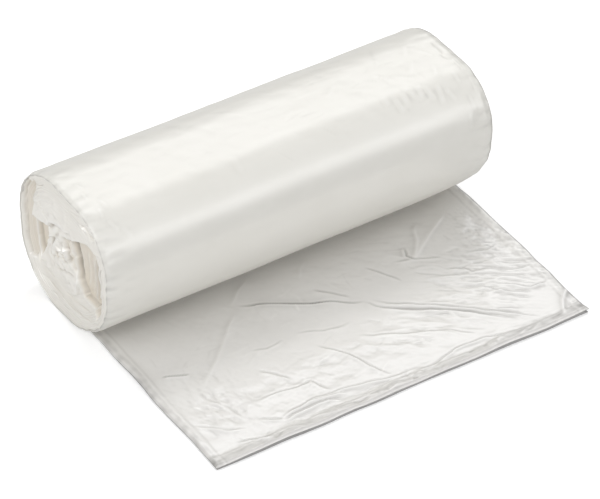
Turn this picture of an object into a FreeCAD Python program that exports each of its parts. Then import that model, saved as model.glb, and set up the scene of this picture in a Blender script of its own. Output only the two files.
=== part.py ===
import FreeCAD, Part
import math
import os
import Sketcher

# A roll of bin bags on its side, with the first bag pulled out flat in front of it.
# The bags are one web of film, folded to a quarter of its width and wound with no core,
# so the roll and the pulled-out bag are one solid.
# X runs along the roll, the pulled-out bag points to -Y and Z is up.
# The origin lies on the table, under the middle of the roll.

# Driving dimensions in millimetres and degrees, with what each one is.
SIZES = [
    ("web_width", 254.0, "folded bag, side to side"),
    ("web_reach", 156.0, "front edge of the bag, from the middle of the roll"),
    ("film_stack", 1.2, "folded bag, with the air between its layers"),
    ("nose_round", 0.4, "rounding of the bag's front edge"),
    ("end_wander", 7.0, "how far the turns stand out past the bag on the left"),
    ("roll_width", 102.0, "front to back"),
    ("roll_height", 94.0, "sagged under its own weight"),
    ("back_lower_radius", 40.0, "lower roundings of the sagged outline"),
    ("front_lower_radius", 50.0, ""),
    ("back_flat", 9.0, "upright stretch between the two back roundings"),
    ("front_flat", 10.8, "upright stretch between the two front roundings"),
    ("nip_gap", 1.0, "height of the gap where the bag leaves the roll"),
    ("rim_bevel", 0.8, "bevel of the outermost turn's edge"),
    ("outer_bundle", 2.2, "film outside the first gap between turns"),
    ("turn_pitch", 2.6, "one visible bundle of turns with its gap"),
    ("turn_gap", 0.6, "air between two bundles"),
    ("turn_gap_depth", 4.0, "how far in that air shows"),
    ("wound_laps", 4.0, "visible bundles between the rim and the recess"),
    ("recess_depth", 7.0, "how far the middle turns sit back from the rim"),
    ("loose_gap", 2.4, "from the wall of the recess to the loose bundle in it"),
    ("loose_wall", 0.9, "thickness of the loose bundle"),
    ("loose_height", 4.5, "how far it stands up from the recess floor"),
    ("loose_laps", 1.75, ""),
    ("least_bend", 1.2, "tightest corner that a bundle takes"),
    ("core_gap", 3.5, "between the loose bundle and the crumpled middle"),
    ("core_taper", 4.0, "how much narrower the crumpled middle is at its top"),
    ("core_height", 6.5, "how far it stands up from the recess floor"),
    ("core_lean", 2.5, "how far its top leans towards the pulled-out bag"),
    ("core_pleats", 7.0, ""),
    ("pleat_depth", 2.6, "swing of the crumpled outline"),
    ("fold_slot", 1.4, "width of the S-shaped fold across the crumpled middle"),
    ("fold_slot_depth", 5.0, ""),
    ("side_fold", 6.5, "width of the doubled edge down each side of the bag"),
    ("side_fold_rise", 0.4, ""),
    ("hem_width", 8.0, "sealed strip at the bag's front edge"),
    ("hem_rise", 0.5, ""),
    ("crease_width", 4.2, "foot of a crease"),
    ("crease_rise", 1.1, "height of its crest over the bag"),
    ("crease_crest", 0.35, "level part of the crest, as a share of its length"),
    ("foot_sink", 0.5, "how deep a fold or a crease is rooted in the bag"),
]

# The main creases of the pulled-out bag: where the middle of each lies, as a share of the
# bag's width to the right of its centre line and a share of its reach towards the front,
# then its length in millimetres and its heading in degrees.
CREASES = [
    ("long_front", 0.228, 0.744, 103.0, -39.5),
    ("long_back", -0.063, 0.404, 54.0, -28.5),
    ("tent_left", -0.291, 0.462, 72.0, 45.0),
    ("tent_back", -0.150, 0.231, 25.0, 38.5),
    ("vee_left", 0.289, 0.333, 32.0, 58.5),
    ("vee_right", 0.327, 0.350, 36.0, 40.5),
    ("middle", -0.055, 0.779, 47.0, -63.0),
    ("left_short", -0.232, 0.696, 25.0, -50.5),
    ("hem_left", -0.240, 0.905, 38.0, 0.0),
    ("hem_middle", 0.060, 0.915, 84.0, -3.0),
    ("right_upper", 0.380, 0.545, 28.0, 12.5),
    ("right_middle", 0.300, 0.640, 38.0, -43.0),
    ("right_lower", 0.400, 0.720, 30.0, -35.0),
    ("centre_short", 0.160, 0.423, 23.0, -61.0),
]

doc = FreeCAD.newDocument("bin_bag_roll")


def make_sheet(name, headings, rows):
    """A spreadsheet with one plain number and one alias per row."""
    made = doc.addObject("Spreadsheet::Sheet", name)
    for column, heading in zip("ABC", headings):
        made.set(f"{column}1", heading)
    for row, (alias, value, note) in enumerate(rows, start=2):
        made.set(f"A{row}", alias)
        made.set(f"B{row}", str(value))
        made.setAlias(f"B{row}", alias)
        made.set(f"C{row}", note)
    return made


sizes = make_sheet("sizes", ("name", "value", "what it is"), SIZES)
crease_rows = []
for crease, right_share, front_share, length, heading in CREASES:
    crease_rows += [
        (f"{crease}_right", right_share, "share of web_width"),
        (f"{crease}_front", front_share, "share of web_reach"),
        (f"{crease}_length", length, "foot of the crease"),
        (f"{crease}_heading", heading, "degrees"),
    ]
creases = make_sheet("creases", ("name", "value", "what it is"), crease_rows)
doc.recompute()


def size(alias):
    return float(sizes.get(alias))


roll = doc.addObject("PartDesign::Body", "bag_roll")
roll.Label = "bag_roll"


def origin_plane(role):
    return next(plane for plane in roll.Origin.OriginFeatures if plane.Role == role)


def new_sketch(name, along=None):
    """A sketch across the roll, at the place along X that the expression gives."""
    sketch = roll.newObject("Sketcher::SketchObject", name)
    sketch.AttachmentSupport = [(origin_plane("YZ_Plane"), "")]
    sketch.MapMode = "FlatFace"
    if along is not None:
        sketch.setExpression("AttachmentOffset.Base.z", along)
    return sketch


def driven(sketch, constraint, name, expression):
    """Adds a constraint and drives its value from the sheet."""
    index = sketch.addConstraint(constraint)
    sketch.renameConstraint(index, name)
    sketch.setExpression(f"Constraints.{name}", expression)


def line(start, end):
    return Part.LineSegment(FreeCAD.Vector(*start, 0), FreeCAD.Vector(*end, 0))


def arc(centre, radius, from_degrees, to_degrees):
    circle = Part.Circle(FreeCAD.Vector(*centre, 0), FreeCAD.Vector(0, 0, 1), radius)
    return Part.ArcOfCircle(circle, math.radians(from_degrees), math.radians(to_degrees))


def corner_radii():
    """Roundings of the outline in the order of a lap: up the back, then down the front."""
    back_lower = size("back_lower_radius")
    front_lower = size("front_lower_radius")
    back_upper = size("roll_height") - back_lower - size("back_flat")
    front_upper = size("roll_height") - size("film_stack") - front_lower - size("front_flat")
    return [back_lower, back_upper, front_upper, front_lower]


def lap_chain(start_inset, pitch, quarters):
    """Lines and quarter arcs of a spiral that follows the sagged outline inwards.

    It starts at the bottom, goes up the back and over the top, and its inset from the
    outline grows by a quarter of the pitch in each quarter lap. Lines and arcs meet
    tangentially. Returns the edges, the first point and the last point.
    """
    half_width = size("roll_width") / 2
    height = size("roll_height")
    radii = corner_radii()
    edges = []
    first = None
    last = None
    for quarter in range(quarters):
        begin = start_inset + quarter * pitch / 4
        end = begin + pitch / 4
        corner = quarter % 4
        radius = max(radii[corner] - end, size("least_bend"))
        if corner == 0:
            centre = (half_width - end - radius, begin + radius)
        elif corner == 1:
            centre = (half_width - begin - radius, height - end - radius)
        elif corner == 2:
            centre = (-half_width + end + radius, height - begin - radius)
        else:
            centre = (-half_width + begin + radius, end + radius)
        turn = -90 + 90 * corner
        quarter_arc = arc(centre, radius, turn, turn + 90)
        arc_start = (quarter_arc.StartPoint.x, quarter_arc.StartPoint.y)
        if last is None:
            first = arc_start
        else:
            edges.append(line(last, arc_start))
        edges.append(quarter_arc)
        last = (quarter_arc.EndPoint.x, quarter_arc.EndPoint.y)
    return edges, first, last


def lap_band(sketch, start_inset, thickness, laps, run_on=False):
    """A closed band between two spirals, as thick as a bundle or as the air beside it.

    With run_on it goes on straight from its last quarter to below its first point.
    """
    ends = []
    for inset in (start_inset, start_inset + thickness):
        edges, first, last = lap_chain(inset, size("turn_pitch"), round(4 * laps))
        if run_on:
            stop = (first[0], last[1])
            edges.append(line(last, stop))
            last = stop
        for edge in edges:
            sketch.addGeometry(edge, False)
        ends.append((first, last))
    (outer_first, outer_last), (inner_first, inner_last) = ends
    sketch.addGeometry(line(outer_first, inner_first), False)
    sketch.addGeometry(line(outer_last, inner_last), False)


def recess_inset():
    """Inset of the recess wall where its lap starts."""
    return size("outer_bundle") + size("wound_laps") * size("turn_pitch")


def loose_inset():
    """Inset of the loose bundle where its first lap starts."""
    return recess_inset() + size("turn_pitch") + size("loose_gap")


def core_radius():
    """Middle of the pleats at the foot of the crumpled core."""
    room = min(size("roll_width"), size("roll_height")) / 2
    room -= loose_inset() + size("loose_laps") * size("turn_pitch") + size("loose_wall")
    return room - size("core_gap") - size("pleat_depth")


def wound_body():
    """The roll itself, with the sagged outline of its outermost turn."""
    sketch = new_sketch("outline")
    half_width = size("roll_width") / 2
    stack = size("film_stack")
    chain, first, last = lap_chain(0.0, 0.0, 3)
    radius = size("front_lower_radius")
    centre = (-half_width + radius, stack + radius)
    nip_angle = math.degrees(math.acos(1 - size("nip_gap") / radius))
    lower_arc = arc(centre, radius, 180, 270 - nip_angle)
    nip = (lower_arc.EndPoint.x, lower_arc.EndPoint.y)
    chain += [
        line(last, (-half_width, centre[1])),
        lower_arc,
        line(nip, (nip[0], 0)),
        line((nip[0], 0), first),
    ]
    for edge in chain:
        sketch.addGeometry(edge, False)
    back_lower, back, back_upper, top, front_upper, front, front_lower, nip_wall, bottom = range(9)
    tangent_runs = [back_lower, back, back_upper, top, front_upper, front, front_lower]
    for before, after in zip([bottom] + tangent_runs, tangent_runs):
        sketch.addConstraint(Sketcher.Constraint("Tangent", before, 2, after, 1))
    sketch.addConstraint([
        Sketcher.Constraint("Coincident", front_lower, 2, nip_wall, 1),
        Sketcher.Constraint("Coincident", nip_wall, 2, bottom, 1),
        Sketcher.Constraint("Vertical", back),
        Sketcher.Constraint("Vertical", front),
        Sketcher.Constraint("Vertical", nip_wall),
        Sketcher.Constraint("Horizontal", top),
        Sketcher.Constraint("Horizontal", bottom),
        Sketcher.Constraint("PointOnObject", bottom, 1, -1),
    ])
    rounding_rows = [
        (back_lower, "back_lower", "sizes.back_lower_radius"),
        (back_upper, "back_upper", "sizes.roll_height - sizes.back_lower_radius - sizes.back_flat"),
        (front_upper, "front_upper", "sizes.roll_height - sizes.film_stack"
                                     " - sizes.front_lower_radius - sizes.front_flat"),
        (front_lower, "front_lower", "sizes.front_lower_radius"),
    ]
    for (rounding, name, expression), value in zip(rounding_rows, corner_radii()):
        driven(sketch, Sketcher.Constraint("Radius", rounding, value), f"{name}_rounding", expression)
    driven(sketch, Sketcher.Constraint("DistanceX", -1, 1, back, 1, half_width),
           "back_reach", "sizes.roll_width / 2")
    driven(sketch, Sketcher.Constraint("DistanceX", front, 1, -1, 1, half_width),
           "front_reach", "sizes.roll_width / 2")
    driven(sketch, Sketcher.Constraint("DistanceY", -1, 1, top, 1, size("roll_height")),
           "top_height", "sizes.roll_height")
    driven(sketch, Sketcher.Constraint("DistanceY", -1, 1, front_lower, 3, centre[1]),
           "front_lower_height", "sizes.film_stack + sizes.front_lower_radius")
    driven(sketch, Sketcher.Constraint("DistanceY", -1, 1, nip_wall, 1, nip[1]),
           "nip_height", "sizes.film_stack + sizes.nip_gap")
    pad = roll.newObject("PartDesign::Pad", "wound_turns")
    pad.Profile = sketch
    pad.SideType = "Two sides"
    pad.setExpression("Length", "sizes.web_width / 2")
    pad.setExpression("Length2", "sizes.web_width / 2 + sizes.end_wander")
    doc.recompute()
    return pad


def bevel_rims(pad):
    """Takes the sharp corner off the outermost turn's edge at both ends, all but its foot."""
    names = []
    for number, edge in enumerate(pad.Shape.Edges, start=1):
        box = edge.BoundBox
        if box.XLength < 1e-6 and box.ZMax > size("film_stack") + size("nip_gap") + 1e-3:
            names.append(f"Edge{number}")
    rims = roll.newObject("PartDesign::Chamfer", "rims")
    rims.Base = (pad, names)
    rims.setExpression("Size", "sizes.rim_bevel")
    doc.recompute()


def pulled_out_bag():
    """The flat bag: a long thin section with a rounded nose, as wide as the web."""
    sketch = new_sketch("bag_section")
    reach = size("web_reach")
    stack = size("film_stack")
    nose = size("nose_round")
    edges = [
        line((0, 0), (-reach + nose, 0)),
        arc((-reach + nose, nose), nose, 180, 270),
        line((-reach, nose), (-reach, stack - nose)),
        arc((-reach + nose, stack - nose), nose, 90, 180),
        line((-reach + nose, stack), (0, stack)),
        line((0, stack), (0, 0)),
    ]
    for edge in edges:
        sketch.addGeometry(edge, False)
    under, nose_under, front, nose_over, over, inner = range(6)
    sketch.addConstraint([
        Sketcher.Constraint("Tangent", under, 2, nose_under, 2),
        Sketcher.Constraint("Tangent", nose_under, 1, front, 1),
        Sketcher.Constraint("Tangent", front, 2, nose_over, 2),
        Sketcher.Constraint("Tangent", nose_over, 1, over, 1),
        Sketcher.Constraint("Coincident", over, 2, inner, 1),
        Sketcher.Constraint("Coincident", inner, 2, under, 1),
        Sketcher.Constraint("Coincident", under, 1, -1, 1),
        Sketcher.Constraint("Horizontal", under),
        Sketcher.Constraint("Horizontal", over),
        Sketcher.Constraint("Vertical", front),
        Sketcher.Constraint("Vertical", inner),
        Sketcher.Constraint("Equal", nose_under, nose_over),
    ])
    driven(sketch, Sketcher.Constraint("Radius", nose_under, nose), "nose", "sizes.nose_round")
    driven(sketch, Sketcher.Constraint("DistanceX", front, 1, -1, 1, reach), "reach", "sizes.web_reach")
    driven(sketch, Sketcher.Constraint("DistanceY", -1, 1, over, 2, stack), "stack", "sizes.film_stack")
    pad = roll.newObject("PartDesign::Pad", "pulled_out_bag")
    pad.Profile = sketch
    pad.SideType = "Symmetric"
    pad.setExpression("Length", "sizes.web_width")
    doc.recompute()


def bag_strip(name, length, width, rise, left, front):
    """A doubled strip of film on the bag, rooted a little way in it."""
    strip = roll.newObject("PartDesign::AdditiveBox", name)
    strip.AttachmentSupport = [(origin_plane("XY_Plane"), "")]
    strip.MapMode = "FlatFace"
    strip.setExpression("Length", length)
    strip.setExpression("Width", width)
    strip.setExpression("Height", f"{rise} + sizes.foot_sink")
    strip.setExpression("AttachmentOffset.Base.x", left)
    strip.setExpression("AttachmentOffset.Base.y", front)
    strip.setExpression("AttachmentOffset.Base.z", "sizes.film_stack - sizes.foot_sink")
    doc.recompute()


def bag_folds():
    """The doubled side edges, which run back under the roll, and the sealed front strip."""
    side_length = "sizes.web_reach - sizes.nose_round"
    front = "-sizes.web_reach + sizes.nose_round"
    bag_strip("left_side_fold", "sizes.side_fold", side_length, "sizes.side_fold_rise",
              "-sizes.web_width / 2", front)
    bag_strip("right_side_fold", "sizes.side_fold", side_length, "sizes.side_fold_rise",
              "sizes.web_width / 2 - sizes.side_fold", front)
    bag_strip("hem", "sizes.web_width", "sizes.hem_width", "sizes.hem_rise",
              "-sizes.web_width / 2", front)


def add_crease(name):
    """A long low ridge that dies out at both ends."""
    ridge = roll.newObject("PartDesign::AdditiveWedge", f"crease_{name}")
    ridge.AttachmentSupport = [(origin_plane("XZ_Plane"), "")]
    ridge.MapMode = "FlatFace"
    length = f"creases.{name}_length"
    ridge.setExpression("Xmin", f"-{length} / 2")
    ridge.setExpression("Xmax", f"{length} / 2")
    ridge.setExpression("X2min", f"-{length} * sizes.crease_crest / 2")
    ridge.setExpression("X2max", f"{length} * sizes.crease_crest / 2")
    ridge.setExpression("Zmin", "-sizes.crease_width / 2")
    ridge.setExpression("Zmax", "sizes.crease_width / 2")
    ridge.Z2min = 0
    ridge.Z2max = 0
    ridge.Ymin = 0
    ridge.setExpression("Ymax", "sizes.crease_rise + sizes.foot_sink")
    ridge.AttachmentOffset = FreeCAD.Placement(FreeCAD.Vector(), FreeCAD.Rotation(FreeCAD.Vector(0, 1, 0), 1))
    ridge.setExpression("AttachmentOffset.Base.x", f"creases.{name}_right * sizes.web_width")
    ridge.setExpression("AttachmentOffset.Base.y", "sizes.film_stack - sizes.foot_sink")
    ridge.setExpression("AttachmentOffset.Base.z", f"creases.{name}_front * sizes.web_reach")
    ridge.setExpression("AttachmentOffset.Rotation.Angle", f"creases.{name}_heading * 1 deg")
    doc.recompute()


def cut(sketch, name, depth, inwards):
    """Cuts a sketch's outline into the end that it lies on, and checks that it cut."""
    before = roll.Shape.Volume
    pocket = roll.newObject("PartDesign::Pocket", name)
    pocket.Profile = sketch
    pocket.Reversed = inwards
    pocket.setExpression("Length", depth)
    doc.recompute()
    if roll.Shape.Volume > before - 1:
        raise RuntimeError(f"{name} cut nothing")


def raise_up(sketch, name, height, inwards):
    """Pads a sketch's outline out of the end that it lies on."""
    pad = roll.newObject("PartDesign::Pad", name)
    pad.Profile = sketch
    pad.Reversed = inwards
    pad.setExpression("Length", height)
    doc.recompute()


def pleated_outline(sketch, shrink, lean):
    """A closed outline with a crest and a valley for each pleat, no two pleats alike.

    Each level of the core is the same outline, smaller and shifted, so that the facets
    between two levels are flat.
    """
    pleats = round(size("core_pleats"))
    corners = []
    for number in range(2 * pleats):
        angle = math.pi * number / pleats
        swing = 1 if number % 2 == 0 else -1
        uneven = 0.6 + 0.4 * math.sin(2.6 * angle)
        reach = (core_radius() + size("pleat_depth") * swing * uneven) * shrink
        corners.append((reach * math.cos(angle) - lean,
                        size("roll_height") / 2 + reach * math.sin(angle)))
    for corner, following in zip(corners, corners[1:] + corners[:1]):
        sketch.addGeometry(line(corner, following), False)


def fold_slot_outline(sketch, half_length, lean):
    """An S-shaped slot made of four half circles and two short ends."""
    middle = size("roll_height") / 2
    half_slot = size("fold_slot") / 2
    bend = half_length / 2
    for side, from_degrees in ((-1, 0), (1, 180)):
        centre = (side * bend - lean, middle)
        for radius in (bend - half_slot, bend + half_slot):
            sketch.addGeometry(arc(centre, radius, from_degrees, from_degrees + 180), False)
        tip = side * half_length - lean
        sketch.addGeometry(line((tip - half_slot, middle), (tip + half_slot, middle)), False)


def dress_end(side):
    """Turn gaps, recess, loose bundle and crumpled middle of one end of the roll."""
    left = side == "left"
    rim = "-sizes.web_width / 2 - sizes.end_wander" if left else "sizes.web_width / 2"
    inward = "+" if left else "-"
    outward = "-" if left else "+"
    floor = f"{rim} {inward} sizes.recess_depth"

    gaps = new_sketch(f"{side}_turn_gaps", rim)
    lap_band(gaps, size("outer_bundle"), size("turn_gap"), size("wound_laps"), run_on=True)
    cut(gaps, f"{side}_turn_gap", "sizes.turn_gap_depth", left)

    wall = new_sketch(f"{side}_recess_wall", rim)
    chain, first, last = lap_chain(recess_inset(), size("turn_pitch"), 4)
    step = (first[0], last[1])
    for edge in chain + [line(last, step), line(step, first)]:
        wall.addGeometry(edge, False)
    cut(wall, f"{side}_recess", "sizes.recess_depth", left)

    loose = new_sketch(f"{side}_loose_bundle", f"{floor} {inward} sizes.foot_sink")
    lap_band(loose, loose_inset(), size("loose_wall"), size("loose_laps"))
    raise_up(loose, f"{side}_loose_turns", "sizes.loose_height + sizes.foot_sink", left)

    sections = []
    places = [("foot", f"{floor} {inward} sizes.foot_sink"),
              ("waist", f"{floor} {outward} sizes.core_height / 2"),
              ("top", f"{floor} {outward} sizes.core_height")]
    for level, (name, along) in enumerate(places):
        section = new_sketch(f"{side}_core_{name}", along)
        share = level / (len(places) - 1)
        shrink = 1 - size("core_taper") / core_radius() * share ** 2
        pleated_outline(section, shrink, size("core_lean") * share)
        sections.append(section)
    core = roll.newObject("PartDesign::AdditiveLoft", f"{side}_crumpled_core")
    core.Profile = sections[0]
    core.Sections = sections[1:]
    core.Ruled = True
    doc.recompute()

    fold = new_sketch(f"{side}_core_fold", f"{floor} {outward} sizes.core_height")
    fold_slot_outline(fold, core_radius() - size("core_taper") - size("pleat_depth"), size("core_lean"))
    cut(fold, f"{side}_fold", "sizes.fold_slot_depth", left)


def check_document():
    """Stops the build if a feature failed or the solid isn't sound."""
    for made in doc.Objects:
        if "Invalid" in made.State or "Error" in made.State:
            raise RuntimeError(f"{made.Name} failed: {made.State}")
    shape = roll.Shape
    if shape.isNull() or not shape.isValid() or len(shape.Solids) != 1:
        raise RuntimeError("the roll isn't one sound solid")


def main():
    bevel_rims(wound_body())
    pulled_out_bag()
    bag_folds()
    for crease in CREASES:
        add_crease(crease[0])
    dress_end("left")
    dress_end("right")
    doc.recompute()
    check_document()
    os.makedirs("parts", exist_ok=True)
    roll.Shape.exportStep(f"parts/{roll.Label}.step")
    box = roll.Shape.BoundBox
    print(f"{roll.Label}: {len(roll.Shape.Faces)} faces, {roll.Shape.Volume / 1000:.1f} cm3, "
          f"{box.XLength:.1f} x {box.YLength:.1f} x {box.ZLength:.1f} mm")


main()
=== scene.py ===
import math

import bpy
import numpy as np
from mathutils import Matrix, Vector


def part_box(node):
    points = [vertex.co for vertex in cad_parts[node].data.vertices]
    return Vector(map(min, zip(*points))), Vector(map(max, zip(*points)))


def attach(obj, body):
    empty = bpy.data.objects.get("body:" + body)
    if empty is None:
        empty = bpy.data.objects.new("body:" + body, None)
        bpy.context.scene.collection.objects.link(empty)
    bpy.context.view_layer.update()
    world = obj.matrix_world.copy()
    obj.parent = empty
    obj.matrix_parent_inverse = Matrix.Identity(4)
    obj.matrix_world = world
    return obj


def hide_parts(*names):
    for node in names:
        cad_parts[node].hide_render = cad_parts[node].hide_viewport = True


# A roll of folded bin bags on its side, with the first bag pulled out flat in front of it.
# Lengths below are in millimetres unless a note says otherwise, and meshes are made in metres.

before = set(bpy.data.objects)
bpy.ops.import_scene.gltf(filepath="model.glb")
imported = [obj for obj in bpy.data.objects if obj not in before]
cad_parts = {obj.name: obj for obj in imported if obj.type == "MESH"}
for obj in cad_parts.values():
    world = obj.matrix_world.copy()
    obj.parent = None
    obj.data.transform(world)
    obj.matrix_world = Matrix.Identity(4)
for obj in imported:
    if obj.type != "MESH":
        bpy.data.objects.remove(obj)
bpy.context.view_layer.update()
mm = 0.001
rollLow, rollHigh = [Vector(corner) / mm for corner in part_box("bag_roll")]
leftRim, rightRim = rollLow.x, rollHigh.x
bagFront = rollLow.y
rollDepth, rollHeight = rollHigh.y, rollHigh.z

outline = {  # the sagged section of the roll
    "backLowerRadius": 40.0,
    "backFlat": 9.0,
    "frontLowerRadius": 50.0,
    "frontFlat": 10.8,
    "filmStack": 1.2,
}


def smooth(value, low, high):  # 0 below low, 1 above high, eased in between
    share = np.clip((value - low) / (high - low), 0.0, 1.0)
    return share * share * (3.0 - 2.0 * share)


def mix(first, second, share):
    return first + (second - first) * share


# Smooth noise in about -1..1 with one bump per unit. It repeats after a period of u. Each call has a
# seed of its own.
def noise(u, v, seed, period=256):
    rng = np.random.default_rng(seed)
    order = rng.permutation(256)
    angle = rng.uniform(0.0, 2.0 * math.pi, 256)
    u, v = np.broadcast_arrays(np.asarray(u, float), np.asarray(v, float))
    cellU, cellV = np.floor(u).astype(int), np.floor(v).astype(int)
    partU, partV = u - cellU, v - cellV
    easeU = partU ** 3 * (partU * (partU * 6 - 15) + 10)
    easeV = partV ** 3 * (partV * (partV * 6 - 15) + 10)

    def corner(stepU, stepV):
        pick = order[(order[((cellU + stepU) % period) % 256] + cellV + stepV) % 256]
        return np.cos(angle[pick]) * (partU - stepU) + np.sin(angle[pick]) * (partV - stepV)

    near = mix(corner(0, 0), corner(1, 0), easeU)
    far = mix(corner(0, 1), corner(1, 1), easeU)
    return 1.5 * mix(near, far, easeV)


# Flat facets with sharp folds between them, in about -1..1, with one or two facets per unit
def crumple(u, v, seed, folds=6):
    rng = np.random.default_rng(seed)
    total = 0.0
    for fold in range(folds):
        heading = rng.uniform(0.0, math.pi)
        pitch = rng.uniform(0.7, 1.6)
        start = rng.uniform(0.0, 1.0)
        bend = 0.35 * noise(u * 0.5, v * 0.5, seed + 31 + fold)
        wave = (u * math.cos(heading) + v * math.sin(heading)) / pitch + start + bend
        total = total + (np.abs(wave % 1.0 - 0.5) * 4.0 - 1.0) * pitch
    return total / folds ** 0.5 / 1.2


grooveOffset = 1.4  # how far a groove runs beside its crest


# One crease along a path: the height of its crest, its width on the left and on the right, the depth of
# the groove on its left, the share of its length over which each end fades out, and the groove's width
def ridge(x, y, path, height, width, backWidth=None, groove=0.0, fade=0.25, grooveWidth=0.9):
    backWidth = width if backWidth is None else backWidth
    room = 5 * max(width, backWidth) + 3  # nothing of the crease is left beyond this
    placesX, placesY = zip(*path)
    close = (x > min(placesX) - room) & (x < max(placesX) + room)
    close &= (y > min(placesY) - room) & (y < max(placesY) + room)
    relief = np.zeros(x.shape)
    x, y = x[close], y[close]
    spans = [math.dist(start, stop) for start, stop in zip(path, path[1:])]
    nearest = np.full(x.shape, 1e9)
    side = np.ones(x.shape)  # 1 on the left of the path's direction, -1 on its right
    along = np.zeros(x.shape)
    walked = 0.0
    for (startX, startY), (stopX, stopY), span in zip(path, path[1:], spans):
        runX, runY = (stopX - startX) / span, (stopY - startY) / span
        reach = np.clip((x - startX) * runX + (y - startY) * runY, 0.0, span)
        offX, offY = x - startX - reach * runX, y - startY - reach * runY
        gap = np.hypot(offX, offY)
        closer = gap < nearest
        nearest = np.where(closer, gap, nearest)
        side = np.where(closer, np.where(runX * offY - runY * offX > 0, 1.0, -1.0), side)
        along = np.where(closer, (walked + reach) / sum(spans), along)
        walked += span
    ends = smooth(np.minimum(along, 1.0 - along), -0.02, fade)
    crest = height * np.exp(-nearest / np.where(side > 0, width, backWidth))
    trough = groove * np.exp(-((side * nearest - grooveOffset) / grooveWidth) ** 2)
    relief[close] = (crest - trough) * ends
    return relief


# How far each point of a grid lies below the mean of the nine around it
def hollowness(height, reachRows, reachColumns, closeRows=False):
    rows, columns = height.shape
    padded = np.pad(height, ((reachRows, reachRows), (0, 0)), mode="wrap" if closeRows else "edge")
    padded = np.pad(padded, ((0, 0), (reachColumns, reachColumns)), mode="edge")
    around = [padded[stepRow:stepRow + rows, stepColumn:stepColumn + columns]
              for stepRow in (0, reachRows, 2 * reachRows)
              for stepColumn in (0, reachColumns, 2 * reachColumns)]
    return sum(around) / len(around) - height


# One piece of the object. Its shade is painted into the colour: 1 is the painted shade of the darkest
# crease or gap, and -1 the painted highlight of the palest crest.
def meshPiece(name, points, faces, paint, shade):
    mesh = bpy.data.meshes.new(name)
    mesh.from_pydata((np.asarray(points) * mm).tolist(), [], faces)
    mesh.validate()
    mesh.materials.append(paint)
    mesh.polygons.foreach_set("use_smooth", np.ones(len(mesh.polygons), bool))
    mesh.attributes.new("shade", "FLOAT", "POINT").data.foreach_set("value", np.clip(shade, -1.0, 1.0))
    piece = bpy.data.objects.new(name, mesh)
    bpy.context.scene.collection.objects.link(piece)
    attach(piece, "root")
    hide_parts("bag_roll")
    print(f"{name}: {len(mesh.vertices)} points, {len(mesh.polygons)} faces")
    return piece


def gridFaces(rows, columns, closeRows=False, closeColumns=False, flip=False):
    faces = []
    for row in range(rows if closeRows else rows - 1):
        below = (row + 1) % rows
        for column in range(columns if closeColumns else columns - 1):
            beside = (column + 1) % columns
            face = [row * columns + column, row * columns + beside,
                    below * columns + beside, below * columns + column]
            faces.append(face[::-1] if flip else face)
    return faces


# Materials

class Wire:  # an output socket, with maths on it written as Python expressions
    def __init__(self, tree, socket):
        self.tree = tree
        self.socket = socket

    def maths(self, operation, first, second):
        node = self.tree.nodes.new("ShaderNodeMath")
        node.operation = operation
        for slot, value in zip(node.inputs, (first, second)):
            if isinstance(value, Wire):
                self.tree.links.new(value.socket, slot)
            else:
                slot.default_value = value
        return Wire(self.tree, node.outputs[0])

    def __add__(self, other):
        return self.maths("ADD", self, other)

    def __radd__(self, other):
        return self.maths("ADD", other, self)

    def __sub__(self, other):
        return self.maths("SUBTRACT", self, other)

    def __rsub__(self, other):
        return self.maths("SUBTRACT", other, self)

    def __mul__(self, other):
        return self.maths("MULTIPLY", self, other)

    def __rmul__(self, other):
        return self.maths("MULTIPLY", other, self)


class Shader:  # a node tree being made
    def __init__(self, owner):
        owner.use_nodes = True
        self.owner = owner
        self.tree = owner.node_tree
        self.tree.nodes.clear()

    def node(self, kind, settings=None, sockets=None, output=0):  # sockets by name or by place
        made = self.tree.nodes.new(kind)
        settings = dict(settings or {})
        stops = settings.pop("stops", None)  # a ramp's places and grey levels or colours
        for name, value in settings.items():
            setattr(made, name, value)
        if stops:
            ramp = made.color_ramp.elements
            while len(ramp) < len(stops):
                ramp.new(1.0)
            for stop, (place, colour) in zip(ramp, stops):
                stop.position = place
                stop.color = colour if isinstance(colour, tuple) else (colour, colour, colour, 1.0)
        for name, value in (sockets or {}).items():
            if isinstance(value, Wire):
                self.tree.links.new(value.socket, made.inputs[name])
            else:
                made.inputs[name].default_value = value
        return Wire(self.tree, made.outputs[output]) if len(made.outputs) else None

    def mixColours(self, factor, first, second):  # the colour sockets of a Mix node, by place
        return self.node("ShaderNodeMix", {"data_type": "RGBA"}, {0: factor, 6: first, 7: second}, 2)


filmLook = {
    "pale": (0.862, 0.848, 0.797, 1.0),  # its clouds run between this
    "deep": (0.802, 0.785, 0.727, 1.0),  # and this
    "cloudScale": 28.0,  # per metre
    "haze": 0.285,  # roughness where the film is clearest
    "hazeSwing": 0.05,  # how much rougher it is in the clouds
    "lineHaze": 0.03,  # and in streaks
    "lineStretch": (12.0, 220.0, 220.0),  # streaks along the roll, as its scales to the metre
    "crinkleScale": 90.0,
    "bumpStrength": 0.12,
    "bumpDistance": 0.0004,
    "ior": 2.0,
    "gloss": 0.8,
    "coat": 0.12,
    "coatHaze": 0.20,
    "shadeTone": (0.24, 0.23, 0.21, 1.0),  # where the mesh's shade is 1
    "crestHighlightTone": (0.95, 0.94, 0.92, 1.0),  # painted highlight, where it is -1
    "innerTone": None,  # painted shade deep in the ends, darker and browner with depth
    "innerReach": 0.0065,  # metres in from the rim
    "innerShadeStops": [(0.36, 0.0), (0.68, 0.85), (1.0, 1.0)],
}


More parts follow.
